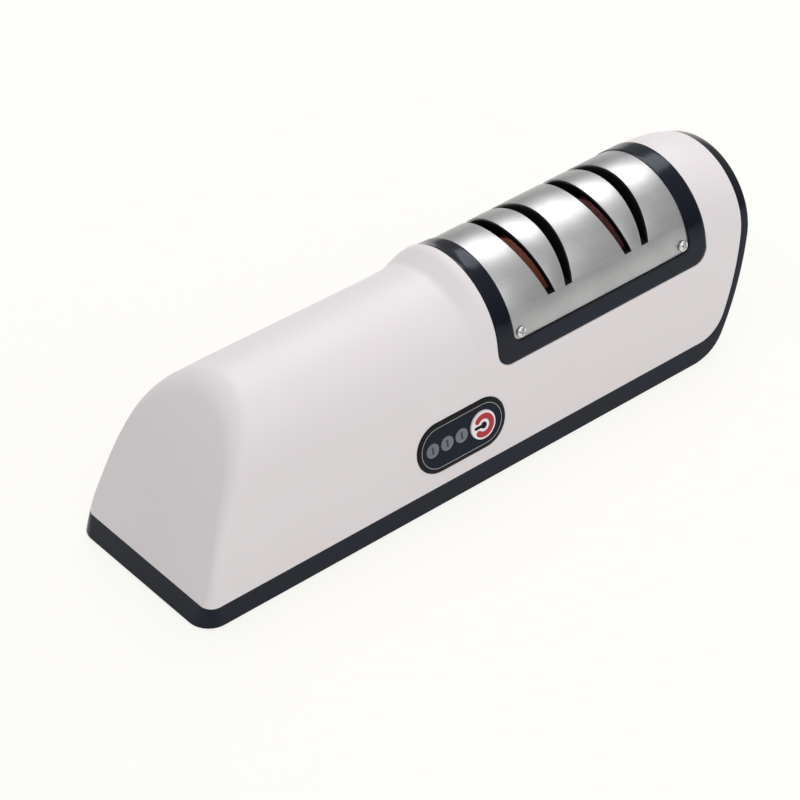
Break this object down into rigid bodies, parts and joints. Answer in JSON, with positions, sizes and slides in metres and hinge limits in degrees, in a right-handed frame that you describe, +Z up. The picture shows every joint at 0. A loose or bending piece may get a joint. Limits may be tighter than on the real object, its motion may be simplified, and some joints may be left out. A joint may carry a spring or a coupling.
{
  "type": "electric knife sharpener",
  "caption": "Cordless electric knife sharpener: white arched body on a black base, steel cover with slanted knife slots over abrasive wheels, side control panel.",
  "frame": {"origin": "middle of the footprint's bounding box, on the plane that the rubber feet stand on", "axes": "+X along the body towards the slotted head, +Y towards the rear wall (the control panel is on -Y), +Z up"},
  "size_m": [0.2151, 0.06, 0.0617],
  "materials": {
    "shell_white": "warm off-white, satin gloss",
    "navy_black": "dark navy-black, satin",
    "cover_steel": "brushed along the length",
    "fine_abrasive": "orange-brown ceramic grit",
    "coarse_abrasive": "purple-brown ceramic grit",
    "inner_abs": "moulded, fine texture",
    "button_white": "polished",
    "lens_grey": "smoked grey",
    "panel_film": "gloss film",
    "rubber_black": "matt",
    "screw_steel": "zinc plated",
    "bright_steel": "ground",
    "brass": "turned",
    "board_green": "solder mask",
    "cell_sleeve": "shrink sleeve",
    "copper": "enamelled wire",
    "magnet": "sintered ferrite",
    "led_clear": "clear resin",
    "nickel_strip": "nickel plated",
    "plunger_red": "moulded"
  },
  "bodies": {
    "housing": {"top_housing": "shell_white", "base_cover": "navy_black", "slot_bezel": "navy_black", "slot_cover": "cover_steel", "cover_screws": "bright_steel", "knife_guide": "inner_abs", "control_panel": "navy_black", "panel_overlay": "panel_film", "indicator_lenses": "lens_grey", "control_board": "board_green", "board_screws": "screw_steel", "tact_switch": "inner_abs", "indicator_leds": "led_clear", "charge_port": "bright_steel", "charge_contacts": "inner_abs", "charge_board": "board_green", "battery_cell_front": "cell_sleeve", "battery_cell_rear": "cell_sleeve", "battery_tabs": "nickel_strip", "chassis": "inner_abs", "motor_can": "bright_steel", "motor_magnets": "magnet", "motor_end_bell": "inner_abs", "motor_terminals": "brass", "motor_bracket": "screw_steel", "motor_screws": "screw_steel", "bearing_left": "bright_steel", "bearing_right": "bright_steel", "bearing_caps": "inner_abs", "cap_screws": "screw_steel", "base_screws": "screw_steel", "rubber_feet": "rubber_black"},
    "button": {"power_button": "button_white", "switch_plunger": "plunger_red"},
    "drive": {"motor_armature": "copper", "shaft_coupler": "brass", "spindle": "bright_steel", "fine_wheel": "fine_abrasive", "coarse_wheel": "coarse_abrasive", "fine_hub": "screw_steel", "coarse_hub": "screw_steel", "wheel_spacer": "brass", "retaining_nut": "screw_steel"}
  },
  "joints": [
    {"name": "button_press", "type": "slide", "parent": "housing", "child": "button", "axis": [0, 0.9856, -0.169], "range_m": [0, 0.0007], "stiffness_N_per_m": 400},
    {"name": "drive_spin", "type": "hinge", "parent": "housing", "child": "drive", "pos_m": [0, 0, 0.0314], "axis": [1, 0, 0], "continuous": true}
  ]
}
